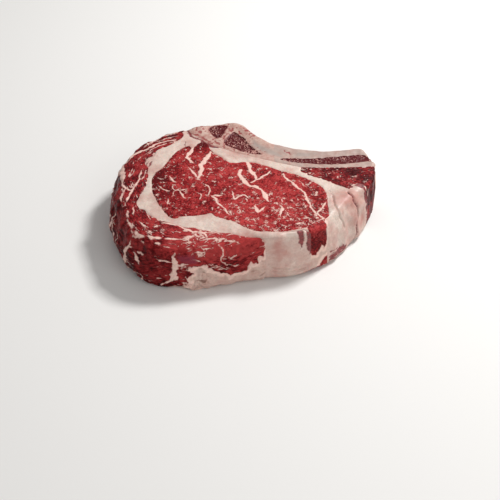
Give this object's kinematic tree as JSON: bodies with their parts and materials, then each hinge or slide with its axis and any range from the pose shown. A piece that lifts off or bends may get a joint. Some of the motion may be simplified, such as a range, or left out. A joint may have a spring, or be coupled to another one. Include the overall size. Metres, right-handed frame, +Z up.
{
  "type": "bone-in ribeye",
  "caption": "Raw bone-in ribeye steak: a thick slab with a marbled eye muscle in a seam of fat, a cap muscle wrapped round it, and a curved rib bone along its back edge.",
  "frame": {"origin": "centre of the bounding box at its bottom, on the surface the steak lies on", "axes": "+X along the steak's length, towards the rib's sawn end; +Y towards the back edge, where the bone is; +Z up, out of the cut face that shows"},
  "size_m": [0.203, 0.1598, 0.0389],
  "materials": {
    "lean": "moist satin",
    "lean_dark": "moist satin",
    "fat": "soft satin",
    "bone": "matte",
    "marrow": "matte"
  },
  "bodies": {
    "root": {"eye_muscle": "lean", "cap_muscle": "lean_dark", "rib_lean": "lean_dark", "fat": "fat", "rib_bone": "bone", "marrow_rib": "marrow", "marrow_neck": "marrow", "marrow_knob": "marrow"}
  },
  "joints": []
}
